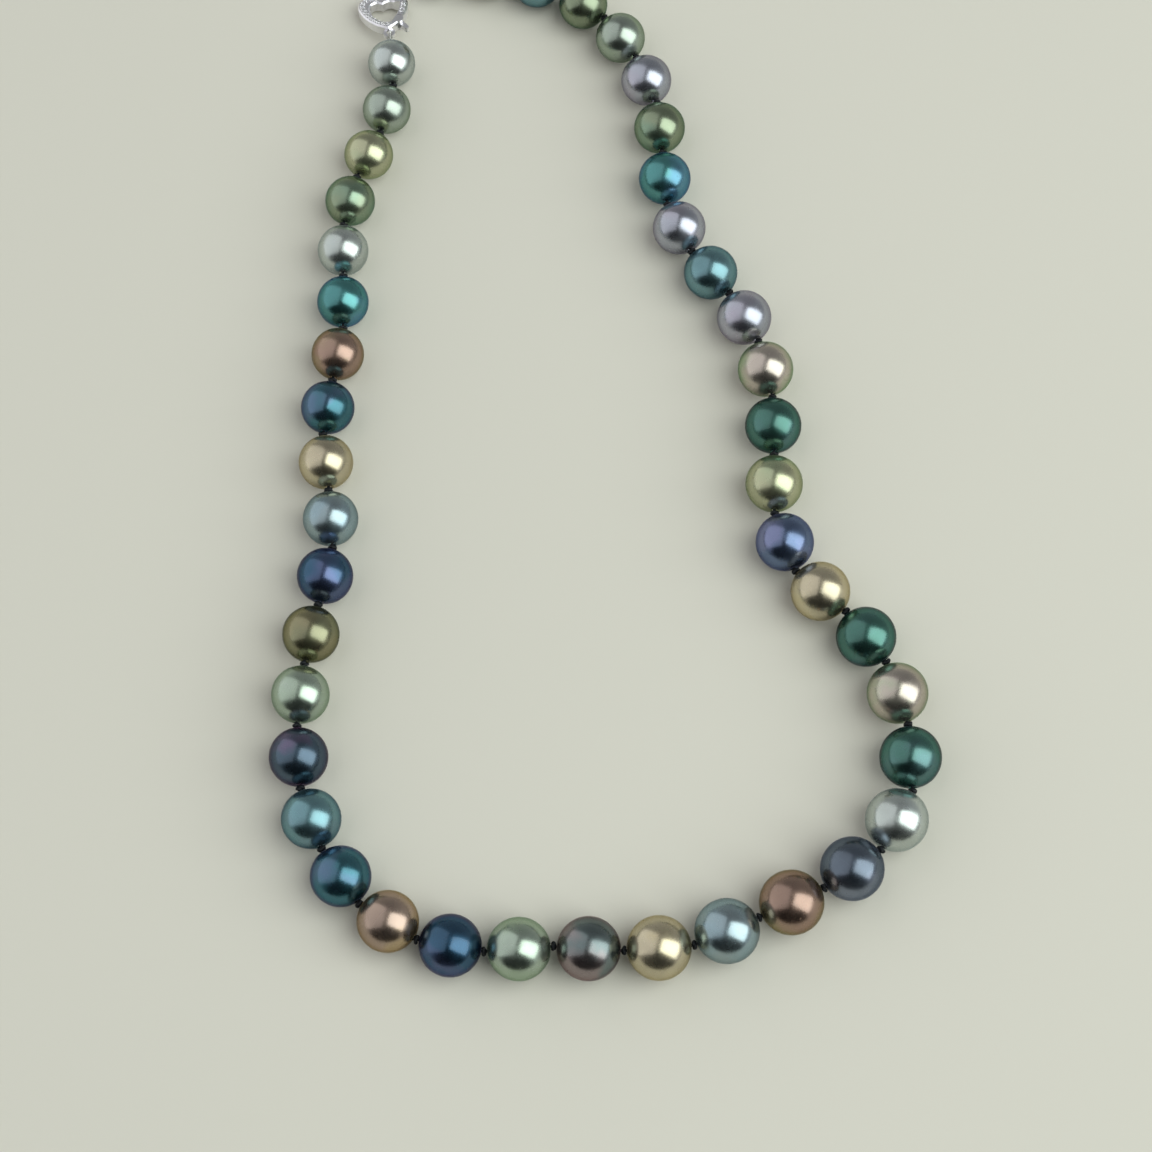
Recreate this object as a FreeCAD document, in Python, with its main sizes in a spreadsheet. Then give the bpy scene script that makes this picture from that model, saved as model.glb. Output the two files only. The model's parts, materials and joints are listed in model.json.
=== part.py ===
import FreeCAD, Part
import math
import os
import Sketcher

from FreeCAD import Placement, Rotation, Vector

# A graduated pearl necklace on knotted silk, lying on a flat surface.
# Origin: the middle of its box, on that surface. +Z is up, +Y points from the
# large middle pearls to the clasp. All lengths are in millimetres.

PEARLS = 44                     # an even number, the two largest in the middle
MIDDLE = PEARLS // 2            # number of the pearl that the chain starts from
STONES_A_SIDE = 12              # even places for stones along each half of the heart
LOOP_GAP = 60.0                 # degrees of a wire loop left open towards the pearl
SILK_BEYOND = 8.0               # degrees that the silk runs on past each end of the wire
HALVINGS = 40                   # steps of each search by halving
UP = Vector(0, 0, 1)

SIZES = {
    # pearls and silk
    "centre_diameter": 10.0,    # the largest pearls
    "end_diameter": 8.0,        # the smallest, beside the clasp
    "knot_space": 0.8,          # from one pearl to the next
    "bore_diameter": 0.9,
    "bore_countersink": 0.25,
    "silk_diameter": 0.45,
    "strand_diameter": 0.28,    # one strand of the silk, inside a wire loop
    "knot_diameter": 1.3,
    "knot_clearance": 0.12,     # from a knot to the pearl on each side
    # French wire loops that tie the clasp and the tab to the end pearls
    "wire_diameter": 0.56,
    "wire_bore": 0.32,
    "wire_clearance": 0.05,     # round the bar that the loop holds, and to the pearl
    "bar_width": 0.5,           # metal between an eye and the edge beside it
    "eye_diameter": 1.0,
    "eye_thickness": 0.7,
    # heart clasp, measured from the bar that the loop holds
    "heart_width": 8.6,
    "heart_lobe_radius": 2.35,
    "heart_top": 9.6,
    "heart_tip": 1.2,
    "heart_side_radius": 7.6,
    "heart_thickness": 2.0,
    "heart_bevel": 0.25,
    "opening_width": 4.7,
    "opening_lobe_radius": 1.25,
    "opening_top": 7.8,
    "opening_tip": 2.5,
    "opening_side_radius": 4.4,
    "cleft_angle": 50.0,        # slope of the notch between the lobes, from the middle line
    # gate, its rivet and its spring
    "rivet_across": 2.1,
    "rivet_along": 3.2,
    "rivet_diameter": 0.6,
    "rivet_clearance": 0.03,
    "knuckle_diameter": 1.6,
    "gate_reach": 4.2,          # from the rivet to the nose
    "gate_width": 1.3,
    "gate_clearance": 0.08,
    "gate_start_angle": 33.0,
    "gate_end_angle": 122.0,
    "tongue_thickness": 0.9,
    "lever_angle": -62.0,
    "lever_reach": 2.1,
    "lever_width": 0.8,
    "spring_thickness": 0.12,
    "spring_start_angle": 204.0,
    "spring_end_angle": 262.0,
    # stones
    "stone_diameter": 0.8,
    "stone_inset": 0.72,        # from the heart's edge to the row of stones
    "stone_crown": 0.14,
    "stone_table": 0.46,
    "stone_pavilion": 0.34,
    "seat_clearance": 0.02,
    # tab at the other end, which the clasp hooks
    "tab_hole_diameter": 2.6,
    "tab_rim": 0.8,
    "tab_web": 0.45,
    "tab_thickness": 0.7,
    # lay
    "clasp_clearance": 0.8,     # from the unhooked tab to the heart
    "clasp_turn": 8.0,          # degrees to the left of the end pearl's bore
}

# The line that the knots lie on, a closed loop, anticlockwise from the clasp.
# It is scaled as a whole until the strand fills it exactly.
ROUTE = [
    (-36.0, 71.5), (-35.3, 62.0), (-37.2, 53.5), (-41.0, 45.0), (-42.9, 36.0),
    (-42.4, 18.0), (-45.0, -1.0), (-42.9, -18.0), (-45.2, -29.5), (-47.2, -42.0),
    (-46.6, -58.0), (-42.3, -68.5), (-36.0, -76.5), (-27.0, -81.3), (-17.0, -82.6),
    (-6.5, -81.8), (4.0, -82.6), (14.5, -81.2), (24.5, -76.6), (34.0, -72.3),
    (42.6, -65.8), (46.8, -56.5), (46.0, -46.5), (42.6, -36.5), (36.5, -29.0),
    (28.8, -22.0), (26.5, -12.5), (26.9, 2.0), (24.5, 16.5), (19.7, 25.0),
    (13.6, 32.5), (10.0, 41.5), (9.4, 55.0), (4.0, 69.8), (-2.3, 77.2),
    (-10.0, 81.5), (-18.0, 83.5), (-26.5, 84.3), (-34.0, 83.8),
]

doc = FreeCAD.newDocument("pearl_necklace")
sheet = doc.addObject("Spreadsheet::Sheet", "sizes")
for row, (alias, value) in enumerate(SIZES.items(), start=1):
    sheet.set("A%d" % row, alias)
    sheet.set("B%d" % row, str(value))
    sheet.setAlias("B%d" % row, alias)
doc.recompute()


def size(alias):
    """A driving dimension, read from the sheet."""
    return float(sheet.get(alias))


def bind(obj, **expressions):
    """Tie properties of an object to cells of the sheet."""
    for name, expression in expressions.items():
        obj.setExpression(name, expression)
    return obj


def named(alias_expression):
    """An expression with each alias in it written as a cell of the sheet."""
    words = []
    for word in alias_expression.split(" "):
        words.append("sizes." + word if word in SIZES else word)
    return " ".join(words)


def primitive(kind, name, place=Placement(), **expressions):
    obj = doc.addObject("Part::" + kind, name)
    obj.Placement = place
    return bind(obj, **{key: named(text) for key, text in expressions.items()})


def boolean(kind, name, parts):
    """Fuse or common of several objects."""
    obj = doc.addObject("Part::" + kind, name)
    obj.Shapes = parts
    return obj


def cut(name, base, tools):
    """The base less all the tools."""
    obj = doc.addObject("Part::Cut", name)
    obj.Base = base
    obj.Tool = tools[0] if len(tools) == 1 else boolean("MultiFuse", name + "_tools", tools)
    return obj


# ---------------------------------------------------------------- the lay

def pearl_share(number):
    """0 in the middle of the strand, 1 at the pearls beside the clasp."""
    middle = (PEARLS + 1) / 2
    return abs(number - middle) / (PEARLS - middle)


def pearl_radius(number):
    centre = size("centre_diameter")
    return (centre - (centre - size("end_diameter")) * pearl_share(number)) / 2


bar_corner = math.hypot(size("bar_width"), size("eye_thickness")) / 2
loop_radius = bar_corner + size("wire_clearance") + size("wire_diameter") / 2
loop_reach = loop_radius + size("wire_diameter") / 2 + size("wire_clearance")


def reach_before(number):
    """From the joint before a pearl to its surface."""
    return loop_reach if number == 1 else size("knot_space") / 2


def reach_after(number):
    return loop_reach if number == PEARLS else size("knot_space") / 2


def joint_heights():
    """Height of the thread at each joint, with every pearl on the floor."""
    heights = [0.0] * (PEARLS + 1)
    heights[MIDDLE] = (pearl_radius(MIDDLE) + pearl_radius(MIDDLE + 1)) / 2
    heights[MIDDLE] += (pearl_radius(MIDDLE) - pearl_radius(MIDDLE - 1)) / 2
    for number in range(MIDDLE, 0, -1):
        radius = pearl_radius(number)
        ratio = (radius + reach_before(number)) / (radius + reach_after(number))
        heights[number - 1] = radius - (heights[number] - radius) * ratio
    for number in range(MIDDLE + 1, PEARLS + 1):
        radius = pearl_radius(number)
        ratio = (radius + reach_after(number)) / (radius + reach_before(number))
        heights[number] = radius - (heights[number - 1] - radius) * ratio
    return heights


def lean(height, reach, half_thickness):
    """Angle at which a flat piece held at a height comes down on the floor."""
    far = math.hypot(reach, half_thickness)
    return math.asin(min(1.0, height / far)) - math.atan2(half_thickness, reach)


heights = joint_heights()
lobe_across = size("heart_width") / 2 - size("heart_lobe_radius")
lobe_along = size("heart_top") - size("heart_lobe_radius")
eye_along = (size("bar_width") + size("eye_diameter")) / 2
tab_outer = size("tab_hole_diameter") / 2 + size("tab_rim")
tab_along = eye_along + (size("eye_diameter") + size("tab_hole_diameter")) / 2 + size("tab_web")
tab_top = tab_along + tab_outer
clasp_turn = math.radians(size("clasp_turn"))
clasp_reach = lobe_along * math.cos(clasp_turn) + lobe_across * math.sin(clasp_turn)
clasp_reach += size("heart_lobe_radius")
clasp_lean = lean(heights[0], clasp_reach, size("heart_thickness") / 2)
tab_lean = lean(heights[PEARLS], tab_top, size("tab_thickness") / 2)
clasp_plan = math.hypot(lobe_across, lobe_along) + size("heart_lobe_radius")
clasp_span = clasp_plan + size("clasp_clearance") + tab_outer


def spans():
    """Level distance from each joint to the next, the clasp's span last."""
    result = []
    for number in range(1, PEARLS + 1):
        length = reach_before(number) + 2 * pearl_radius(number) + reach_after(number)
        rise = heights[number] - heights[number - 1]
        result.append(math.sqrt(length ** 2 - rise ** 2))
    return result + [clasp_span]


def walk(curve, period, steps):
    """Joints stepped off along a closed curve, and the parameter reached."""
    here = curve.FirstParameter
    places = [curve.value(here)]
    for step in steps:
        low = here
        high = here + period / PEARLS
        wrap = curve.FirstParameter
        start = places[-1]
        while (curve.value(wrap + (high - wrap) % period) - start).Length < step:
            low = high
            high += period / PEARLS
        for halving in range(HALVINGS):
            middle = (low + high) / 2
            if (curve.value(wrap + (middle - wrap) % period) - start).Length < step:
                low = middle
            else:
                high = middle
        here = (low + high) / 2
        places.append(curve.value(wrap + (here - wrap) % period))
    return places, here - curve.FirstParameter


def lay_out():
    """The joints on the smooth closed route, at the scale that closes it."""
    steps = spans()
    small, large = 0.4, 2.5         # scales that are surely too small and too large
    for halving in range(HALVINGS):
        scale = (small + large) / 2
        curve = Part.BSplineCurve()
        curve.interpolate([Vector(x, y, 0) * scale for x, y in ROUTE], PeriodicFlag=True)
        period = curve.LastParameter - curve.FirstParameter
        places, travelled = walk(curve, period, steps)
        if travelled > period:
            small = scale
        else:
            large = scale
    return places[:-1], scale


joints, route_scale = lay_out()
for index, place in enumerate(joints):
    place.z = heights[index]


def pearl_centre(number):
    before, after = joints[number - 1], joints[number]
    along = (after - before).normalize()
    return before + along * (reach_before(number) + pearl_radius(number))


# Move the whole lay so that the origin is the middle of its box.
def span_of(axis):
    lows = [pearl_centre(n)[axis] - pearl_radius(n) for n in range(1, PEARLS + 1)]
    highs = [pearl_centre(n)[axis] + pearl_radius(n) for n in range(1, PEARLS + 1)]
    return min(lows), max(highs)


shift = Vector(-sum(span_of(0)) / 2, -sum(span_of(1)) / 2, 0)
joints = [place + shift for place in joints]


def aimed(origin, toward, down, turn):
    """Placement of a flat piece that a loop holds by its origin: its Y axis leads
    along toward, turned in its own plane, tipped down about the loop's axis."""
    level = Vector(toward.x, toward.y, 0).normalize()
    along = level * math.cos(down) - UP * math.sin(down)
    across = level.cross(UP)
    tipped = Rotation(across, along, across.cross(along), "XYZ")
    return Placement(origin, tipped.multiply(Rotation(UP, turn)))


clasp_place = aimed(joints[0], joints[0] - joints[1], clasp_lean, size("clasp_turn"))
tab_place = aimed(joints[PEARLS], joints[PEARLS] - joints[PEARLS - 1], tab_lean, 0)


# ---------------------------------------------------------------- pearls

def sketch_on(body, name, role):
    """A sketch on one of the body's own origin planes."""
    sketch = body.newObject("Sketcher::SketchObject", name)
    plane = [part for part in body.Origin.OriginFeatures if part.Role == role][0]
    sketch.AttachmentSupport = [(plane, "")]
    sketch.MapMode = "FlatFace"
    return sketch


def dimension(sketch, kind, name, expression, *geometry):
    """A named dimension of a sketch, tied to the sheet."""
    index = sketch.addConstraint(Sketcher.Constraint(kind, *geometry))
    sketch.renameConstraint(index, name)
    sketch.setExpression("Constraints." + name, named(expression))


def make_pearl(number):
    """A round pearl drilled through, its bore along its own Z axis."""
    name = "pearl_%02d" % number
    body = doc.addObject("PartDesign::Body", name)
    body.Label = name
    sketch = sketch_on(body, name + "_profile", "XZ_Plane")
    radius = pearl_radius(number)
    bore = size("bore_diameter") / 2
    sink = size("bore_countersink")
    mouth = math.sqrt(radius ** 2 - (bore + sink) ** 2)
    low = Vector(bore, sink - mouth, 0)
    high = Vector(bore, mouth - sink, 0)
    rim = Vector(bore + sink, mouth, 0)
    foot = Vector(bore + sink, -mouth, 0)
    angle = math.atan2(rim.y, rim.x)
    circle = Part.Circle(Vector(0, 0, 0), UP, radius)
    sketch.addGeometry([
        Part.LineSegment(low, high),
        Part.LineSegment(high, rim),
        Part.ArcOfCircle(circle, -angle, angle),
        Part.LineSegment(foot, low),
    ])
    sketch.addConstraint([
        Sketcher.Constraint("Coincident", 0, 2, 1, 1),
        Sketcher.Constraint("Coincident", 1, 2, 2, 2),
        Sketcher.Constraint("Coincident", 2, 1, 3, 1),
        Sketcher.Constraint("Coincident", 3, 2, 0, 1),
        Sketcher.Constraint("Coincident", 2, 3, -1, 1),
        Sketcher.Constraint("Symmetric", 0, 1, 0, 2, -1),
        Sketcher.Constraint("Equal", 1, 3),
    ])
    grade = "centre_diameter - ( centre_diameter - end_diameter ) * %.9f" % pearl_share(number)
    dimension(sketch, "Radius", "surface", "( %s ) / 2" % grade, 2, radius)
    dimension(sketch, "DistanceX", "bore", "bore_diameter / 2", -1, 1, 0, 2, bore)
    dimension(sketch, "DistanceX", "sink", "bore_countersink", 0, 2, 1, 2, sink)
    dimension(sketch, "DistanceY", "sink_depth", "bore_countersink", 0, 2, 1, 2, sink)
    turn = body.newObject("PartDesign::Revolution", name + "_turned")
    turn.Profile = sketch
    turn.ReferenceAxis = (sketch, ["V_Axis"])
    turn.Angle = 360
    body.Tip = turn
    along = joints[number] - joints[number - 1]
    body.Placement = Placement(pearl_centre(number), Rotation(UP, along))
    return body


# ---------------------------------------------------------------- silk

def run_of_silk(start, end, radius):
    along = end - start
    return Part.makeCylinder(radius, along.Length, start, along)


def knot_of_silk(number):
    """The knot after a pearl: a barrel square to the bend of the thread."""
    place = joints[number]
    before = (place - joints[number - 1]).normalize()
    after = (joints[number + 1] - place).normalize()
    radius = size("knot_diameter") / 2
    half = size("knot_space") / 2 - size("knot_clearance")
    belt = math.degrees(math.asin(half / radius))
    return Part.makeSphere(radius, place, before + after, -belt, belt, 360)


def loop_frame(place, inward):
    """Local axes of a wire loop: X level and away from the pearl, Z across."""
    away = -Vector(inward.x, inward.y, inward.z).normalize()
    side = away.cross(UP).normalize()
    return Placement(place, Rotation(away, side.cross(away), side, "XYZ"))


def loop_of_silk(place, inward, mouth_depth):
    """The strand inside a wire loop, and its two tails into the bore."""
    frame = loop_frame(place, inward)
    radius = size("strand_diameter") / 2
    sweep = 360 - LOOP_GAP + 2 * SILK_BEYOND
    ring = Part.makeTorus(loop_radius, radius, Vector(), UP, 0, 360, sweep)
    ring.rotate(Vector(), UP, -sweep / 2)
    ring.Placement = frame.multiply(ring.Placement)
    inside = frame.multVec(Vector(-mouth_depth, 0, 0))
    pieces = [ring]
    for sign in (1, -1):
        angle = math.radians(sign * sweep / 2)
        end = Vector(math.cos(angle), math.sin(angle), 0) * loop_radius
        tail = frame.multVec(end)
        pieces.append(run_of_silk(tail, inside, radius))
        pieces.append(Part.makeSphere(radius, tail))
    return pieces


def make_silk():
    """One doubled silk thread through all the pearls, knotted between them,
    with an end loop through the clasp and one through the tab."""
    radius = size("silk_diameter") / 2
    first = joints[1] - joints[0]
    last = joints[PEARLS - 1] - joints[PEARLS]
    depth = loop_reach + size("bore_countersink") + size("silk_diameter")
    start = joints[0] + first * (depth / first.Length)
    end = joints[PEARLS] + last * (depth / last.Length)
    corners = [start] + joints[1:PEARLS] + [end]
    pieces = [run_of_silk(a, b, radius) for a, b in zip(corners, corners[1:])]
    pieces += [knot_of_silk(number) for number in range(1, PEARLS)]
    pieces += [Part.makeSphere(radius, start), Part.makeSphere(radius, end)]
    pieces += loop_of_silk(joints[0], first, depth)
    pieces += loop_of_silk(joints[PEARLS], last, depth)
    silk = doc.addObject("Part::Feature", "silk_thread")
    silk.Shape = pieces[0].multiFuse(pieces[1:])
    return silk


def make_wire_loop(name, place, inward):
    """A loop of French wire, open towards the pearl, hollow for the silk."""
    frame = loop_frame(place, inward)
    tilt = Placement(Vector(), Rotation(UP, LOOP_GAP / 2 - 180))
    rings = []
    for kind, across in (("coil", "wire_diameter"), ("core", "wire_bore")):
        ring = primitive("Torus", name + "_" + kind, tilt, Radius2=across + " / 2")
        ring.Radius1 = loop_radius
        ring.Angle3 = 360 - LOOP_GAP
        rings.append(ring)
    loop = cut(name, rings[0], rings[1:])
    loop.Placement = frame
    return loop


# ---------------------------------------------------------------- heart clasp

def side_centre(lobe_x, lobe_y, lobe_radius, tip_y, side_radius):
    """Centre of the right side's arc: tangent to the lobe, through the tip."""
    reach = side_radius - lobe_radius
    gap = math.hypot(lobe_x, lobe_y - tip_y)
    along = (side_radius ** 2 - reach ** 2 + gap ** 2) / (2 * gap)
    off = math.sqrt(side_radius ** 2 - along ** 2)
    unit = Vector(lobe_x / gap, (lobe_y - tip_y) / gap, 0)
    return Vector(0, tip_y, 0) + unit * along + Vector(-unit.y, unit.x, 0) * off


def heart_arcs(prefix):
    """Centres and radii of a heart outline's lobe and side, and its tip."""
    lobe = size(prefix + "_lobe_radius")
    x = size(prefix + "_width") / 2 - lobe
    y = size(prefix + "_top") - lobe
    tip = size(prefix + "_tip")
    side = size(prefix + "_side_radius")
    return Vector(x, y, 0), lobe, side_centre(x, y, lobe, tip, side), side, tip


def outline_curves(prefix):
    """The right half of a heart outline: its side from the tip, its lobe, and
    the straight side of the notch down to the middle line."""
    centre, lobe, side_middle, side, tip = heart_arcs(prefix)
    join = math.atan2(centre.y - side_middle.y, centre.x - side_middle.x)
    tip_angle = math.atan2(tip - side_middle.y, -side_middle.x)
    slope = math.radians(size("cleft_angle"))
    touch = centre + Vector(-math.cos(slope), math.sin(slope), 0) * lobe
    cleft = Vector(0, touch.y - touch.x / math.tan(slope), 0)
    return [
        Part.ArcOfCircle(Part.Circle(side_middle, UP, side), tip_angle, join),
        Part.ArcOfCircle(Part.Circle(centre, UP, lobe), join, math.pi - slope),
        Part.LineSegment(touch, cleft),
    ]


def outline_rules(sketch, prefix, side_curve, lobe_curve, notch):
    """How the curves of one outline meet, and its sizes, tied to the sheet."""
    centre, lobe, side_middle, side, tip = heart_arcs(prefix)
    sketch.addConstraint([
        Sketcher.Constraint("Tangent", side_curve, 2, lobe_curve, 1),
        Sketcher.Constraint("Tangent", lobe_curve, 2, notch, 1),
        Sketcher.Constraint("PointOnObject", side_curve, 1, -2),
        Sketcher.Constraint("PointOnObject", notch, 2, -2),
    ])
    width = "%s_width / 2 - %s_lobe_radius" % (prefix, prefix)
    top = "%s_top - %s_lobe_radius" % (prefix, prefix)
    downhill = math.radians(-90 - size("cleft_angle"))
    dimension(sketch, "Radius", prefix + "_lobe", prefix + "_lobe_radius", lobe_curve, lobe)
    dimension(sketch, "Radius", prefix + "_side", prefix + "_side_radius", side_curve, side)
    dimension(sketch, "DistanceX", prefix + "_across", width, -1, 1, lobe_curve, 3, centre.x)
    dimension(sketch, "DistanceY", prefix + "_along", top, -1, 1, lobe_curve, 3, centre.y)
    dimension(sketch, "DistanceY", prefix + "_tip", prefix + "_tip", -1, 1, side_curve, 1, tip)
    dimension(sketch, "Angle", prefix + "_notch", "( -90 - cleft_angle ) * 1 deg", notch, downhill)


def is_circle(edge):
    return isinstance(edge.Curve, Part.Circle)


def make_heart_blank(name):
    """The open heart, bevelled front and back, before the gate is cut from it:
    the right half of the band, padded, bevelled and mirrored."""
    body = doc.addObject("PartDesign::Body", name + "_half")
    sketch = sketch_on(body, name + "_outline", "XY_Plane")
    outer = outline_curves("heart")
    inner = outline_curves("opening")
    cleft = Part.LineSegment(outer[2].EndPoint, inner[2].EndPoint)
    foot = Part.LineSegment(inner[0].StartPoint, outer[0].StartPoint)
    sketch.addGeometry(outer + inner + [cleft, foot])
    sketch.addConstraint([
        Sketcher.Constraint("Coincident", 2, 2, 6, 1),
        Sketcher.Constraint("Coincident", 5, 2, 6, 2),
        Sketcher.Constraint("Coincident", 3, 1, 7, 1),
        Sketcher.Constraint("Coincident", 0, 1, 7, 2),
    ])
    outline_rules(sketch, "heart", 0, 1, 2)
    outline_rules(sketch, "opening", 3, 4, 5)
    pad = body.newObject("PartDesign::Pad", name + "_pad")
    pad.Profile = sketch
    pad.Midplane = True
    bind(pad, Length="sizes.heart_thickness")
    doc.recompute()
    bevel = body.newObject("PartDesign::Chamfer", name + "_bevel")
    edges = enumerate(pad.Shape.Edges, start=1)
    rims = ["Edge%d" % index for index, edge in edges if is_circle(edge)]
    bevel.Base = (pad, rims)
    bind(bevel, Size="sizes.heart_bevel")
    body.Tip = bevel
    mirror = doc.addObject("Part::Mirroring", name + "_mirror")
    mirror.Source = body
    mirror.Normal = Vector(1, 0, 0)
    return boolean("MultiFuse", name, [body, mirror])


rivet = Vector(size("rivet_across"), size("rivet_along"), 0)


def centred(height, at=Vector(), turn=0.0):
    """Place of a piece of a given height whose middle lies in the heart's plane."""
    return Placement(at - UP * height / 2, Rotation(UP, turn))


def disc(name, at, diameter, thickness, turn=0.0, angle=360.0):
    """A disc or pie square to the heart, both sizes written in the sheet's words."""
    height = doc.addObject("Part::Cylinder", name)
    height.setExpression("Radius", named("( %s ) / 2" % diameter))
    height.setExpression("Height", named(thickness))
    doc.recompute()
    height.Placement = centred(height.Height.Value, at, turn)
    height.Angle = angle
    return height


def gate_pie(name, clearance, slack):
    """The part of the heart round the rivet that the gate takes up."""
    start = size("gate_start_angle") - slack
    angle = size("gate_end_angle") - start
    return disc(name, rivet, "2 * gate_reach + 2 * %s" % clearance, "2 * heart_thickness", start, angle)


def stone_places():
    """Even places along a line inside the heart's edge, right half and left."""
    centre, lobe, side_middle, side, tip = heart_arcs("heart")
    side -= size("stone_inset")
    lobe -= size("stone_inset")
    join = math.atan2(centre.y - side_middle.y, centre.x - side_middle.x)
    low = -math.acos(-side_middle.x / side)
    high = math.pi - math.radians(size("cleft_angle")) / 2
    half = Part.Wire([
        Part.ArcOfCircle(Part.Circle(side_middle, UP, side), low, join).toShape(),
        Part.ArcOfCircle(Part.Circle(centre, UP, lobe), join, high).toShape(),
    ])
    right = half.discretize(Number=2 * STONES_A_SIDE + 1)[1::2]
    return right, [Vector(-point.x, point.y, 0) for point in right]


def revolved_stone(name, grow):
    """A round brilliant: low crown, sharp girdle, pointed pavilion."""
    radius = size("stone_diameter") / 2 + grow
    table = size("stone_table") / 2 + grow
    crown = size("stone_crown")
    pavilion = size("stone_pavilion") + grow
    points = [Vector(0, 0, crown), Vector(table, 0, crown), Vector(radius, 0, 0), Vector(0, 0, -pavilion)]
    face = Part.Face(Part.makePolygon(points + points[:1]))
    return face.revolve(Vector(), UP, 360)


def set_stones(name, places, grow=0.0):
    """A row of stones, or of their seats, at the heart's front."""
    stone = revolved_stone(name, grow)
    front = size("heart_thickness") / 2
    solids = []
    for place in places:
        solids.append(stone.translated(place + UP * front))
    row = doc.addObject("Part::Feature", name)
    row.Shape = Part.makeCompound(solids)
    return row


def on_gate(point):
    """Whether a stone there stands wholly on the gate's bar."""
    away = (point - rivet).Length
    edge = size("stone_diameter") / 2
    near = (size("knuckle_diameter") + size("stone_diameter")) / 2 + size("gate_clearance")
    return point.y > rivet.y and near < away < size("gate_reach") - edge


def on_frame(point):
    """Whether a stone there stands wholly on the fixed part of the heart."""
    away = (point - rivet).Length
    edge = size("stone_diameter") / 2 + 2 * size("gate_clearance")
    if point.x > 0 and point.y > rivet.y:
        return away > size("gate_reach") + edge
    return away > size("knuckle_diameter") / 2 + edge


def make_gate(blank, seats):
    """The outer part of the heart's right side, hinged on a thin tongue that
    sits between the frame's cheeks, with a thumb lever below the rivet."""
    side_middle = heart_arcs("heart")[2]
    bar = boolean("MultiCommon", "gate_bar", [blank, gate_pie("gate_pie", "0", 0.0)])
    inner = disc("gate_inner", side_middle, "2 * heart_side_radius - 2 * gate_width", "2 * heart_thickness")
    reach = "knuckle_diameter + 2 * gate_clearance"
    shoulder = disc("gate_shoulder", rivet, reach, "2 * heart_thickness")
    thick = cut("gate_thick", bar, [inner, shoulder])
    web_pie = gate_pie("gate_web_pie", "0", 0.0)
    web_disc = disc("gate_web_disc", rivet, reach + " + 4 * gate_clearance", "tongue_thickness")
    web = boolean("MultiCommon", "gate_web", [blank, web_pie, web_disc])
    knuckle = disc("gate_knuckle", rivet, "knuckle_diameter - 2 * gate_clearance", "tongue_thickness")
    lever = make_lever()
    body = boolean("MultiFuse", "gate_body", [thick, web, knuckle] + lever)
    hole = disc("gate_hole", rivet, "rivet_diameter + 2 * rivet_clearance", "2 * heart_thickness")
    gate = cut("clasp_gate", body, [hole, seats])
    gate.Placement = clasp_place
    return gate


def make_lever():
    """A flat lever with a round end, from the knuckle to the thumb."""
    arm = primitive("Box", "lever_arm", Placement(), Length="lever_reach",
                    Width="lever_width", Height="tongue_thickness")
    turn = Rotation(UP, size("lever_angle"))
    corner = Vector(0, -size("lever_width") / 2, -size("tongue_thickness") / 2)
    arm.Placement = Placement(rivet + turn.multVec(corner), turn)
    end = rivet + turn.multVec(Vector(size("lever_reach"), 0, 0))
    thumb = disc("lever_end", end, "lever_width", "tongue_thickness")
    return [arm, thumb]


def make_frame(blank, seats):
    """The fixed part of the heart, with its cheeks, slot and drilled lug."""
    swing = gate_pie("swing_room", "gate_clearance", 2.0)
    open_heart = cut("heart_open", blank, [swing])
    cheeks = disc("cheeks", rivet, "knuckle_diameter", "heart_thickness")
    lug = disc("lug", Vector(0, eye_along, 0), "eye_diameter + 2 * bar_width", "eye_thickness")
    body = boolean("MultiFuse", "frame_body", [open_heart, cheeks, lug])
    slot_size = "knuckle_diameter + 2 * spring_thickness + 2 * gate_clearance"
    slot = disc("slot", rivet, slot_size, "tongue_thickness + gate_clearance")
    hole = disc("rivet_hole", rivet, "rivet_diameter + 2 * rivet_clearance", "2 * heart_thickness")
    eye = disc("lug_eye", Vector(0, eye_along, 0), "eye_diameter", "2 * heart_thickness")
    frame = cut("clasp_heart", body, [slot, hole, eye, seats])
    frame.Placement = clasp_place
    return frame


def make_rivet():
    pin = disc("clasp_rivet", rivet, "rivet_diameter", "heart_thickness")
    pin.Placement = clasp_place.multiply(pin.Placement)
    return pin


def make_spring():
    """A bowed leaf behind the gate's knuckle, in the end of the slot."""
    angle = size("spring_end_angle") - size("spring_start_angle")
    inner = "knuckle_diameter + gate_clearance"
    height = "tongue_thickness - gate_clearance"
    start = size("spring_start_angle")
    leaf = disc("leaf", rivet, inner + " + 2 * spring_thickness", height, start, angle)
    inside = disc("leaf_inside", rivet, inner, "2 * heart_thickness")
    spring = cut("gate_spring", leaf, [inside])
    spring.Placement = clasp_place
    return spring


def make_tab():
    """A flat tab with a small eye for the wire loop and a ring for the clasp."""
    eye = Vector(0, eye_along, 0)
    ring = Vector(0, tab_along, 0)
    small = disc("tab_small", eye, "eye_diameter + 2 * bar_width", "tab_thickness")
    large = disc("tab_large", ring, "tab_hole_diameter + 2 * tab_rim", "tab_thickness")
    plate = boolean("MultiFuse", "tab_plate", [small, large])
    small_hole = disc("tab_eye", eye, "eye_diameter", "2 * tab_thickness")
    large_hole = disc("tab_ring", ring, "tab_hole_diameter", "2 * tab_thickness")
    tab = cut("end_tab", plate, [small_hole, large_hole])
    tab.Placement = tab_place
    return tab


def make_clasp():
    blank = make_heart_blank("heart_blank")
    right, left = stone_places()
    grow = size("seat_clearance")
    frame_places = [place for place in left + right if on_frame(place)]
    gate_places = [place for place in right if on_gate(place)]
    frame_stones = set_stones("frame_stones", frame_places)
    gate_stones = set_stones("gate_stones", gate_places)
    frame = make_frame(blank, set_stones("frame_seats", frame_places, grow))
    gate = make_gate(blank, set_stones("gate_seats", gate_places, grow))
    frame_stones.Placement = clasp_place
    gate_stones.Placement = clasp_place
    return [frame, gate, make_rivet(), make_spring(), frame_stones, gate_stones]


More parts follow.
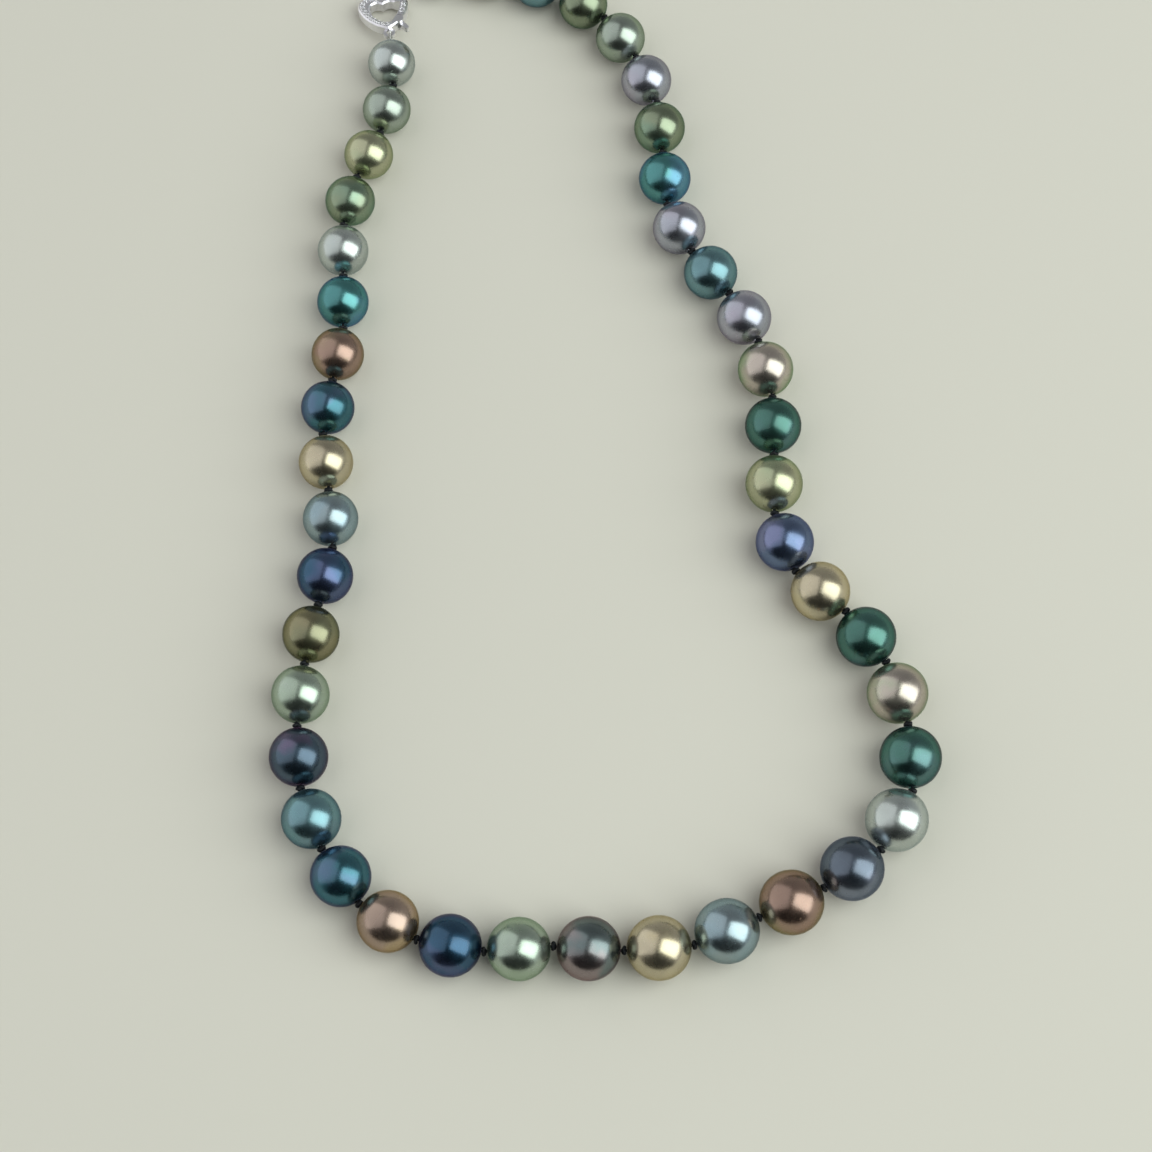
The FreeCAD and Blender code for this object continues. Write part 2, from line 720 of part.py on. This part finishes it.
# ---------------------------------------------------------------- the whole

nodes = [make_pearl(number) for number in range(1, PEARLS + 1)]
nodes.append(make_silk())
nodes.append(make_wire_loop("wire_loop_clasp", joints[0], joints[1] - joints[0]))
nodes.append(make_wire_loop("wire_loop_tab", joints[PEARLS], joints[PEARLS - 1] - joints[PEARLS]))
nodes += make_clasp()
nodes.append(make_tab())
for node in nodes:
    node.Label = node.Name
doc.recompute()

for obj in doc.Objects:
    if "Invalid" in obj.State or "Error" in obj.State:
        raise RuntimeError("%s failed to build" % obj.Name)
for node in nodes:
    if node.Shape.isNull() or not node.Shape.isValid():
        raise RuntimeError("%s has no valid shape" % node.Name)

os.makedirs("parts", exist_ok=True)
for node in nodes:
    node.Shape.exportStep("parts/%s.step" % node.Label)

silk_length = sum((b - a).Length for a, b in zip(joints, joints[1:PEARLS + 1]))
print("nodes", len(nodes), "strand between the end loops %.1f mm" % silk_length)
print("route scale %.4f" % route_scale, "clasp leans %.1f degrees" % math.degrees(clasp_lean))
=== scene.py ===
import json
import math

import bpy
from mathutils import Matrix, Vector, noise

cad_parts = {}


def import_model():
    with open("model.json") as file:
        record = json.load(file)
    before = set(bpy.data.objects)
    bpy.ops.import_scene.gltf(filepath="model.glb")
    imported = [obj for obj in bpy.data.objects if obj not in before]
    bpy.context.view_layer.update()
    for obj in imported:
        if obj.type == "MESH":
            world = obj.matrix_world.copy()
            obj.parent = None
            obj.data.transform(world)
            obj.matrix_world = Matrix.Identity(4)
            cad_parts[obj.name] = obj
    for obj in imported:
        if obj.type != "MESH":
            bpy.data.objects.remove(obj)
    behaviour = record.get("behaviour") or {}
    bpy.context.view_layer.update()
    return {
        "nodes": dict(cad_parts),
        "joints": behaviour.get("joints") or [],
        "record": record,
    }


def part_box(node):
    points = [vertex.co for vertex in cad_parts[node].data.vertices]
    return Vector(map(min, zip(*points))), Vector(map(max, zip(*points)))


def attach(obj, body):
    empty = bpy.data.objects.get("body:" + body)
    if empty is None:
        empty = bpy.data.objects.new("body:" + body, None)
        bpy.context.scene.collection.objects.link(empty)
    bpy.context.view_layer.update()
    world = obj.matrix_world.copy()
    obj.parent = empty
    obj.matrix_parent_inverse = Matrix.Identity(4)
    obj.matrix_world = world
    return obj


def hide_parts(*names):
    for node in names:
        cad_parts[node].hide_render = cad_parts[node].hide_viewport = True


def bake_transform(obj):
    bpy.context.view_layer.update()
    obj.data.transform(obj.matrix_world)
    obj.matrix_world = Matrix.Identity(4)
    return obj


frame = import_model()

# The looks of a graduated pearl necklace on knotted silk. Lengths are metres.
MM = 0.001
PEARLS = 44
BORE = 0.45 * MM                # radius of a pearl's drill hole
SINK = 0.25 * MM                # how far its countersink widens and deepens it
UP = Vector((0, 0, 1))

scene = bpy.context.scene
joints = {joint["name"]: joint for joint in frame["joints"]}
slot_of = {part["node"]: part["material_slot"] for part in frame["record"]["subparts"]}


# ---------------------------------------------------------------- helpers

def mesh_piece(name, points, faces, material, smooth=True):
    """A new mesh object of this shape."""
    mesh = bpy.data.meshes.new(name)
    mesh.from_pydata([tuple(point) for point in points], [], faces)
    mesh.validate()
    mesh.materials.append(material)
    mesh.polygons.foreach_set("use_smooth", [smooth] * len(mesh.polygons))
    piece = bpy.data.objects.new(name, mesh)
    scene.collection.objects.link(piece)
    return piece


def grid_faces(rows, columns, closed_rows=False, start=0):
    """Quads of a grid whose columns close on themselves."""
    faces = []
    last = rows if closed_rows else rows - 1
    for row in range(last):
        for column in range(columns):
            a = row * columns + column
            b = row * columns + (column + 1) % columns
            c = (row + 1) % rows * columns + (column + 1) % columns
            d = (row + 1) % rows * columns + column
            faces.append((start + a, start + b, start + c, start + d))
    return faces


def axes_along(direction):
    """Two unit vectors square to a direction and to each other."""
    side = direction.cross(UP if abs(direction.z) < 0.9 else Vector((1, 0, 0))).normalized()
    return side, side.cross(direction).normalized()


def around(side, other, angle):
    """The direction at an angle in the plane of two axes."""
    return side * math.cos(angle) + other * math.sin(angle)


def tube(path, radius, sides=8, closed=False, start=0):
    """Points and faces of a round tube along a path, with flat ends."""
    count = len(path)
    points = []
    side = None
    for index, here in enumerate(path):
        ahead = path[(index + 1) % count] if closed or index < count - 1 else here
        behind = path[index - 1] if closed or index > 0 else here
        along = (ahead - behind).normalized()
        if side is None:
            side = axes_along(along)[0]
        side = (side - along * side.dot(along)).normalized()
        other = along.cross(side)
        for corner in range(sides):
            points.append(here + around(side, other, 2 * math.pi * corner / sides) * radius)
    faces = grid_faces(count, sides, closed, start)
    if not closed:
        faces.append(tuple(start + corner for corner in reversed(range(sides))))
        faces.append(tuple(start + (count - 1) * sides + corner for corner in range(sides)))
    return points, faces


# ---------------------------------------------------------------- where things are

def pearl_name(number):
    return "pearl_%02d" % number


def knot_place(number):
    return Vector(joints["knot_%02d" % number]["pos_m"])


def pearl_centre(number):
    low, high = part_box(pearl_name(number))
    return (low + high) / 2


def pearl_radius(number):
    low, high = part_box(pearl_name(number))
    return (high.z - low.z) / 2


def bore_axis(number):
    """Direction of a pearl's drill hole, away from the clasp."""
    centre = pearl_centre(number)
    if number > 1:
        return (centre - knot_place(number - 1)).normalized()
    return (knot_place(1) - centre).normalized()


# ---------------------------------------------------------------- materials

def new_material(name):
    material = bpy.data.materials.new(name)
    material.use_nodes = True
    tree = material.node_tree
    return material, tree, tree.nodes["Principled BSDF"]


def add(tree, kind, **values):
    """A shader node with some of its sockets and settings filled in."""
    node = tree.nodes.new(kind)
    for key, value in values.items():
        if key in node.inputs:
            node.inputs[key].default_value = value
        else:
            setattr(node, key, value)
    return node


def noise_of(tree, scale, detail=2.0):
    """Noise fixed to the piece where it lies at rest."""
    where = add(tree, "ShaderNodeTexCoord")
    pattern = add(tree, "ShaderNodeTexNoise", Scale=scale, Detail=detail)
    tree.links.new(where.outputs["Object"], pattern.inputs["Vector"])
    return pattern.outputs["Fac"]


def ramp(tree, source, stops):
    """A colour ramp over a value."""
    node = add(tree, "ShaderNodeValToRGB")
    tree.links.new(source, node.inputs["Fac"])
    elements = node.color_ramp.elements
    while len(elements) < len(stops):
        elements.new(0.5)
    for element, (place, colour) in zip(elements, stops):
        element.position = place
        element.color = (*colour, 1)
    return node.outputs["Color"]


def bumpy(tree, shader, height, strength, distance):
    """Makes a shader's surface follow a height."""
    bump = add(tree, "ShaderNodeBump", Strength=strength, Distance=distance)
    tree.links.new(height, bump.inputs["Height"])
    tree.links.new(bump.outputs["Normal"], shader.inputs["Normal"])


def grey(value):
    return (value, value, value)


def nacre_pits(tree):
    """Height of a skin with a few small pits."""
    where = add(tree, "ShaderNodeTexCoord")
    pits = add(tree, "ShaderNodeTexVoronoi", Scale=420.0)
    tree.links.new(where.outputs["Object"], pits.inputs["Vector"])
    depth = ramp(tree, pits.outputs["Distance"], [(0.04, grey(0.0)), (0.09, grey(1.0))])
    smooth = noise_of(tree, scale=330.0, detail=0.0)
    rare = ramp(tree, smooth, [(0.66, grey(1.0)), (0.68, grey(0.0))])
    either = add(tree, "ShaderNodeMath", operation="MAXIMUM")
    tree.links.new(depth, either.inputs[0])
    tree.links.new(rare, either.inputs[1])
    return either.outputs[0]


def nacre(name, body, rim, roughness=0.26):
    """Pearl nacre: a lustrous coloured body with another tone at its rim."""
    material, tree, shader = new_material(name)
    shader.inputs["Metallic"].default_value = 0.96
    shader.inputs["Specular Tint"].default_value = (*rim, 1)
    shader.inputs["Coat Weight"].default_value = 0.35
    shader.inputs["Coat Roughness"].default_value = 0.07
    shader.inputs["Coat IOR"].default_value = 1.55
    shader.inputs["Sheen Weight"].default_value = 0.4
    shader.inputs["Sheen Roughness"].default_value = 0.3
    shader.inputs["Sheen Tint"].default_value = (*rim, 1)
    # Partly painted reflection: a noise cloud mixes the nacre's own mottle, a little darker, with
    # lighter patches of rim tone that stand in for the hue of reflections.
    darker = tuple(0.85 * part for part in body)
    turned = tuple(0.5 * part + 0.65 * edge for part, edge in zip(body, rim))
    mottle_and_reflection = noise_of(tree, scale=130.0, detail=2.5)
    colour = ramp(tree, mottle_and_reflection, [(0.36, turned), (0.5, body), (0.66, darker)])
    tree.links.new(colour, shader.inputs["Base Color"])
    gloss = noise_of(tree, scale=420.0)
    low, high = grey(roughness - 0.04), grey(roughness + 0.06)
    tree.links.new(ramp(tree, gloss, [(0.3, low), (0.7, high)]), shader.inputs["Roughness"])
    bumpy(tree, shader, nacre_pits(tree), 0.5, 0.06 * MM)
    return material


# Body colour and rim tone of each finish.
NACRES = {
    "nacre_silver": ((0.50, 0.55, 0.52), (0.40, 0.45, 0.45)),
    "nacre_sage": ((0.36, 0.42, 0.36), (0.22, 0.28, 0.20)),
    "nacre_pistachio": ((0.45, 0.46, 0.30), (0.28, 0.36, 0.22)),
    "nacre_moss": ((0.25, 0.30, 0.20), (0.14, 0.24, 0.18)),
    "nacre_peacock": ((0.09, 0.28, 0.28), (0.09, 0.18, 0.32)),
    "nacre_petrol": ((0.05, 0.16, 0.20), (0.10, 0.12, 0.22)),
    "nacre_bottle": ((0.07, 0.18, 0.15), (0.08, 0.14, 0.16)),
    "nacre_rose_bronze": ((0.34, 0.23, 0.18), (0.26, 0.24, 0.12)),
    "nacre_rose_gold": ((0.40, 0.30, 0.24), (0.34, 0.26, 0.12)),
    "nacre_bronze": ((0.26, 0.24, 0.14), (0.14, 0.16, 0.10)),
    "nacre_champagne": ((0.54, 0.48, 0.34), (0.44, 0.38, 0.22)),
    "nacre_steel": ((0.28, 0.38, 0.42), (0.24, 0.28, 0.28)),
    "nacre_steel_teal": ((0.16, 0.30, 0.33), (0.12, 0.18, 0.22)),
    "nacre_midnight": ((0.04, 0.10, 0.17), (0.10, 0.10, 0.20)),
    "nacre_indigo": ((0.12, 0.17, 0.28), (0.20, 0.20, 0.34)),
    "nacre_aubergine": ((0.07, 0.11, 0.15), (0.20, 0.10, 0.20)),
    "nacre_slate": ((0.12, 0.15, 0.19), (0.20, 0.22, 0.28)),
    "nacre_mint": ((0.38, 0.46, 0.38), (0.26, 0.34, 0.24)),
    "nacre_rose_grey": ((0.15, 0.19, 0.19), (0.30, 0.20, 0.20)),
    "nacre_rose_silver": ((0.52, 0.46, 0.40), (0.20, 0.34, 0.18)),
    "nacre_lilac": ((0.40, 0.42, 0.48), (0.32, 0.28, 0.34)),
}


def silk_material():
    material, tree, shader = new_material("silk")
    thread = noise_of(tree, scale=9000.0, detail=3.0)
    colour = ramp(tree, thread, [(0.3, (0.002, 0.003, 0.004)), (0.7, (0.012, 0.014, 0.018))])
    tree.links.new(colour, shader.inputs["Base Color"])
    shader.inputs["Roughness"].default_value = 0.6
    shader.inputs["Specular IOR Level"].default_value = 0.3
    bumpy(tree, shader, thread, 0.6, 0.03 * MM)
    return material


def metal(name, colour, roughness):
    """Polished metal with faint rubbing."""
    material, tree, shader = new_material(name)
    shader.inputs["Metallic"].default_value = 1.0
    rubbed = noise_of(tree, scale=2500.0, detail=4.0)
    darker = tuple(0.93 * part for part in colour)
    tree.links.new(ramp(tree, rubbed, [(0.35, darker), (0.65, colour)]), shader.inputs["Base Color"])
    low, high = grey(0.85 * roughness), grey(1.15 * roughness)
    tree.links.new(ramp(tree, rubbed, [(0.3, high), (0.7, low)]), shader.inputs["Roughness"])
    bumpy(tree, shader, rubbed, 0.15, 0.02 * MM)
    return material


def stone_material():
    material, tree, shader = new_material("clear_stone")
    shader.inputs["Roughness"].default_value = 0.0
    shader.inputs["IOR"].default_value = 2.15
    shader.inputs["Transmission Weight"].default_value = 0.9
    tint = noise_of(tree, scale=1500.0, detail=1.0)
    colour = ramp(tree, tint, [(0.3, (0.93, 0.95, 1.0)), (0.7, (1.0, 0.99, 0.97))])
    tree.links.new(colour, shader.inputs["Base Color"])
    return material


materials = {name: nacre(name, *tones) for name, tones in NACRES.items()}
materials["silk"] = silk_material()
materials["french_wire"] = metal("french_wire", (0.78, 0.77, 0.74), 0.22)
materials["white_metal"] = metal("white_metal", (0.88, 0.87, 0.90), 0.32)
materials["spring_steel"] = metal("spring_steel", (0.62, 0.62, 0.63), 0.3)
materials["clear_stone"] = stone_material()

for node_name, cad_node in frame["nodes"].items():
    cad_node.data.materials.clear()
    cad_node.data.materials.append(materials[slot_of[node_name]])


# ---------------------------------------------------------------- pearls

RINGS = 44                      # from one end of the bore to the other
BORE_RINGS = 4
SEGMENTS = 64
OVAL = 0.006                    # share of the radius by which a pearl is out of round
WAVE_SCALE = 0.8
RIPPLE_SCALE = 2.6
RIPPLE = 0.12                   # a ripple's depth as a share of a wave's
SEED_STEP = (7.3, 1.9, 4.1)     # from one pearl's place in the noise to the next


def pearl_profile(radius):
    """Height along the bore, reach from it, and whether it is the outer skin."""
    first = math.asin((BORE + SINK) / radius)
    profile = []
    for ring in range(RINGS):
        angle = first + (math.pi - 2 * first) * ring / (RINGS - 1)
        profile.append((radius * math.cos(angle), radius * math.sin(angle), True))
    depth = profile[-1][0] + SINK
    for step in range(BORE_RINGS):
        share = step / (BORE_RINGS - 1)
        profile.append((depth * (1 - 2 * share), BORE, False))
    return profile


def pearl_piece(number):
    """A near-round pearl, a little flattened and wavy, drilled through."""
    name = pearl_name(number)
    centre = pearl_centre(number)
    radius = pearl_radius(number)
    along = bore_axis(number)
    side, other = axes_along(along)
    seed = Vector([number * step for step in SEED_STEP])
    profile = pearl_profile(radius)
    points = []
    for height, reach, outside in profile:
        for segment in range(SEGMENTS):
            angle = 2 * math.pi * segment / SEGMENTS
            offset = along * height + around(side, other, angle) * reach
            if outside:
                wave = noise.noise(offset / radius * WAVE_SCALE + seed)
                ripple = noise.noise(offset / radius * RIPPLE_SCALE + seed)
                dent = 0.5 + 0.5 * wave + RIPPLE * (0.5 + 0.5 * ripple)
                offset *= 1 - OVAL * dent
            points.append(centre + offset)
    faces = grid_faces(len(profile), SEGMENTS, closed_rows=True)
    piece = mesh_piece(name + "_nacre", points, faces, materials[slot_of[name]])
    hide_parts(name)
    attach(piece, name)


for pearl in range(1, PEARLS + 1):
    pearl_piece(pearl)


# ---------------------------------------------------------------- silk

THREAD = 0.27 * MM              # radius of the doubled silk
DRAWN = 0.85 * THREAD           # its radius where it is drawn into a bore
STRAND = 0.14 * MM              # radius of one strand of it
KNOT = 0.18 * MM                # a third of how far a knot's turns reach out
KNOT_FLAT = 0.7                 # a knot's reach along the silk, as a share of KNOT
KNOT_TURN = 0.9                 # radians that each knot is turned past the last
KNOT_STEPS = 48
LOOP = 0.76 * MM                # radius of an end loop's middle line
LOOP_GAP = 60.0                 # degrees of it left open towards the pearl
LOOP_STEPS = 32
NECK = 0.9 * MM                 # from an end loop back to where its two strands meet
PAST = 1.05                     # the silk's arc as a share of its coil's
OVERLAP = 0.1 * MM              # how far the thread reaches past where the strands meet
WIRE = 0.28 * MM                # outer radius of the French wire
GAUGE = 0.05 * MM               # radius of the fine wire that it is coiled from
GAUGE_SIDES = 6
TURNS = 38
TURN_STEPS = 10


def knot_piece(number):
    """An overhand knot between two pearls, with the thread on both sides of it."""
    place = knot_place(number)
    before, after = pearl_centre(number), pearl_centre(number + 1)
    along = (after - before).normalized()
    side, other = axes_along(along)
    turn = number * KNOT_TURN
    path = []
    for step in range(KNOT_STEPS):
        angle = 2 * math.pi * step / KNOT_STEPS
        across = math.sin(angle + turn) + 2 * math.sin(2 * angle + turn)
        aside = math.cos(angle + turn) - 2 * math.cos(2 * angle + turn)
        wave = -math.sin(3 * angle)
        path.append(place + (side * across + other * aside + along * KNOT_FLAT * wave) * KNOT)
    points, faces = tube(path, THREAD, closed=True)
    straight = [before, before.lerp(place, 0.6), place, place.lerp(after, 0.4), after]
    more, rest = tube(straight, DRAWN, start=len(points))
    piece = mesh_piece("silk_knot_%02d" % number, points + more, faces + rest, materials["silk"])
    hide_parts("silk_thread")
    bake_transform(piece)


def end_loop(name, joint, number, wire):
    """The silk's loop at one end of the strand, in its coil of French wire."""
    place = Vector(joints[joint]["pos_m"])
    pearl = pearl_name(number)
    centre = pearl_centre(number)
    away = (place - centre).normalized()
    side = away.cross(UP).normalized()
    over = side.cross(away)
    half = math.radians(180 - LOOP_GAP / 2)

    inside = place - away * (LOOP + NECK)
    silk = [inside]
    for step in range(LOOP_STEPS + 1):
        angle = PAST * half * (1 - 2 * step / LOOP_STEPS)
        silk.append(place + around(away, over, angle) * LOOP)
    silk.append(inside)
    points, faces = tube(silk, STRAND)
    rest = [inside + away * OVERLAP, inside.lerp(centre, 0.5), centre]
    more, others = tube(rest, DRAWN, start=len(points))
    piece = mesh_piece("silk_" + name, points + more, faces + others, materials["silk"])
    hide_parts("silk_thread")
    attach(piece, pearl)

    coil = []
    for step in range(TURNS * TURN_STEPS + 1):
        out = around(away, over, half * (1 - 2 * step / (TURNS * TURN_STEPS)))
        turn = 2 * math.pi * step / TURN_STEPS
        coil.append(place + out * LOOP + around(out, side, turn) * (WIRE - GAUGE))
    points, faces = tube(coil, GAUGE, GAUGE_SIDES)
    piece = mesh_piece(wire + "_coil", points, faces, materials["french_wire"])
    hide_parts(wire)
    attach(piece, pearl)


for knot in range(1, PEARLS):
    knot_piece(knot)
end_loop("loop_clasp", "clasp_swing", 1, "wire_loop_clasp")
end_loop("loop_tab", "tab_swing", PEARLS, "wire_loop_tab")


# ---------------------------------------------------------------- stones

FACING = Vector(joints["gate_opening"]["axis"]).normalized()
if FACING.z < 0:
    FACING = -FACING
GIRDLE = 0.4 * MM               # radius of a stone
CROWN = 0.14 * MM               # from its girdle up to its table
PAVILION = 0.33 * MM            # from its girdle down to its point
CORNERS = 8                     # of its table
STONE_TURN = 0.7                # radians that each stone is turned past the last
BEAD = 0.13 * MM                # radius of the metal beads that hold the stones
BEAD_ASIDE = 0.33 * MM          # from the row's middle line to a bead
NEIGHBOURS = 3.2 * GIRDLE       # stones that are less than this apart share beads
DOME_RINGS = 5
DOME_SIDES = 10
DOME_FOOT = -10                 # degrees of a bead's lowest ring
DOME_RISE = 20                  # degrees from one ring to the next

# Reach in girdle radii, height, and turn in corners of each ring of a stone, from the table down.
BRILLIANT = [
    (0.58, CROWN, 0.0),
    (0.84, 0.62 * CROWN, 0.5),
    (1.0, 0.06 * CROWN, 0.0),
    (1.0, -0.10 * CROWN, 0.0),
    (0.5, -0.55 * PAVILION, 0.5),
]


def islands(node_name):
    """The separate lumps of a CAD node, each a list of points."""
    cad_node = frame["nodes"][node_name]
    mesh = cad_node.data
    group = list(range(len(mesh.vertices)))

    def leader(index):
        while group[index] != index:
            group[index] = group[group[index]]
            index = group[index]
        return index

    same = {}
    for vertex in mesh.vertices:
        key = tuple(round(part, 7) for part in vertex.co)
        group[leader(vertex.index)] = leader(same.setdefault(key, vertex.index))
    for edge in mesh.edges:
        first, second = edge.vertices
        group[leader(first)] = leader(second)
    lumps = {}
    for vertex in mesh.vertices:
        lumps.setdefault(leader(vertex.index), []).append(cad_node.matrix_world @ vertex.co)
    return list(lumps.values())


def stone_seats(node_name):
    """Middle of the girdle of each stone of a row."""
    seats = []
    for lump in islands(node_name):
        top = max(point.dot(FACING) for point in lump)
        middle = sum(lump, Vector()) / len(lump)
        seats.append(middle + FACING * (top - CROWN - middle.dot(FACING)))
    return seats


def brilliant(seat, turn, start):
    """Points and facets of a round brilliant with an eight-sided table."""
    side, other = axes_along(FACING)
    points = []
    for reach, height, shift in BRILLIANT:
        for corner in range(CORNERS):
            angle = 2 * math.pi * (corner + shift) / CORNERS + turn
            points.append(seat + around(side, other, angle) * reach * GIRDLE + FACING * height)
    points.append(seat - FACING * PAVILION)
    table, star, upper, lower, pavilion = (start + CORNERS * ring for ring in range(len(BRILLIANT)))
    tip = start + CORNERS * len(BRILLIANT)
    faces = [tuple(start + corner for corner in range(CORNERS))]
    for corner in range(CORNERS):
        after = (corner + 1) % CORNERS
        before = (corner - 1) % CORNERS
        faces.append((table + corner, star + corner, table + after))
        faces.append((table + corner, star + before, upper + corner, star + corner))
        faces.append((star + corner, upper + corner, upper + after))
        faces.append((upper + corner, lower + corner, lower + after, upper + after))
        faces.append((lower + corner, pavilion + corner, lower + after))
        faces.append((lower + corner, pavilion + before, tip, pavilion + corner))
    return points, faces


def dome(middle, radius, start):
    """Points and faces of a small round bead that stands on the front."""
    side, other = axes_along(FACING)
    points = []
    for ring in range(DOME_RINGS):
        lift = math.radians(DOME_FOOT + DOME_RISE * ring)
        for corner in range(DOME_SIDES):
            across = around(side, other, 2 * math.pi * corner / DOME_SIDES) * math.cos(lift)
            points.append(middle + (across + FACING * math.sin(lift)) * radius)
    points.append(middle + FACING * radius)
    faces = grid_faces(DOME_RINGS, DOME_SIDES, start=start)
    tip = start + DOME_RINGS * DOME_SIDES
    top = tip - DOME_SIDES
    for corner in range(DOME_SIDES):
        faces.append((top + corner, top + (corner + 1) % DOME_SIDES, tip))
    faces.append(tuple(start + corner for corner in reversed(range(DOME_SIDES))))
    return points, faces


def cut_stones(node_name, seats, body):
    """The stones of a row, as one piece."""
    points, faces = [], []
    for index, seat in enumerate(seats):
        more, facets = brilliant(seat, STONE_TURN * index, len(points))
        points += more
        faces += facets
    piece = mesh_piece(node_name + "_cut", points, faces, materials["clear_stone"], smooth=False)
    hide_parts(node_name)
    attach(piece, body)


def bead_row(metal_node, seats, body):
    """A pair of beads between every two neighbouring stones, as one piece."""
    points, faces = [], []
    for index, seat in enumerate(seats):
        for other in seats[index + 1:]:
            gap = other - seat
            if gap.length >= NEIGHBOURS:
                continue
            across = gap.cross(FACING).normalized()
            for sign in (1, -1):
                place = (seat + other) / 2 + across * sign * BEAD_ASIDE
                more, skin = dome(place, BEAD, len(points))
                points += more
                faces += skin
    if points:
        piece = mesh_piece(metal_node + "_beads", points, faces, materials["white_metal"])
        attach(piece, body)


def stone_row(node_name, metal_node, body):
    """A row of cut stones, and the beads between them."""
    seats = stone_seats(node_name)
    cut_stones(node_name, seats, body)
    bead_row(metal_node, seats, body)


stone_row("frame_stones", "clasp_heart", "clasp")
stone_row("gate_stones", "clasp_gate", "gate")


# ---------------------------------------------------------------- floor, light, camera

def floor():
    """A plain pale surface under the necklace."""
    bpy.ops.mesh.primitive_plane_add(size=6.0)
    plane = bpy.context.object
    plane.name = "floor"
    material, tree, shader = new_material("floor")
    shader.inputs["Base Color"].default_value = (0.67, 0.65, 0.565, 1)
    shader.inputs["Roughness"].default_value = 0.9
    plane.data.materials.append(material)


def world():
    """Faint light all round, dimmer overhead, and dark in front of the necklace."""
    space = bpy.data.worlds.new("studio")
    scene.world = space
    space.use_nodes = True
    tree = space.node_tree
    where = add(tree, "ShaderNodeTexCoord")
    apart = add(tree, "ShaderNodeSeparateXYZ")
    tree.links.new(where.outputs["Generated"], apart.inputs["Vector"])
    level, low, high = (0.42, 0.42, 0.41), (0.27, 0.28, 0.28), (0.19, 0.19, 0.20)
    sky = ramp(tree, apart.outputs["Z"], [(0.0, level), (0.35, low), (0.8, high)])
    front = add(tree, "ShaderNodeVectorMath", operation="DOT_PRODUCT")
    tree.links.new(where.outputs["Generated"], front.inputs[0])
    front.inputs[1].default_value = Vector((-0.06, -0.88, 0.47)).normalized()
    shade = ramp(tree, front.outputs["Value"], [(0.50, grey(1.0)), (0.74, grey(0.01))])
    dim = add(tree, "ShaderNodeVectorMath", operation="MULTIPLY")
    tree.links.new(sky, dim.inputs[0])
    tree.links.new(shade, dim.inputs[1])
    tree.links.new(dim.outputs["Vector"], tree.nodes["Background"].inputs["Color"])


def softbox(name, place, width, height, power, colour):
    """A large soft light that faces the necklace."""
    light = bpy.data.lights.new(name, "AREA")
    light.shape = "RECTANGLE"
    light.size = width
    light.size_y = height
    light.energy = power
    light.color = colour
    lamp = bpy.data.objects.new(name, light)
    lamp.location = place
    lamp.rotation_euler = (-Vector(place)).to_track_quat("-Z", "Y").to_euler()
    scene.collection.objects.link(lamp)


def camera():
    """Looks down at the necklace from in front of its large pearls."""
    tilt = math.radians(17.5)           # from straight down
    distance = 0.386
    aim = Vector((-4.5, -24.5, 4.5)) * MM
    lens = bpy.data.cameras.new("camera")
    lens.lens = 76.5
    lens.clip_start = 0.01
    eye = bpy.data.objects.new("camera", lens)
    eye.location = aim + Vector((0, -math.sin(tilt), math.cos(tilt))) * distance
    eye.rotation_euler = (tilt, 0, 0)
    scene.collection.objects.link(eye)
    scene.camera = eye


floor()
world()
softbox("window", (0.75, -0.21, 0.92), width=1.15, height=1.65, power=16.5, colour=(0.94, 1.0, 0.98))
softbox("panel", (-0.86, 0.20, 0.75), width=2.00, height=1.90, power=8.4, colour=(0.97, 0.98, 1.0))
camera()
scene.view_settings.view_transform = "Standard"
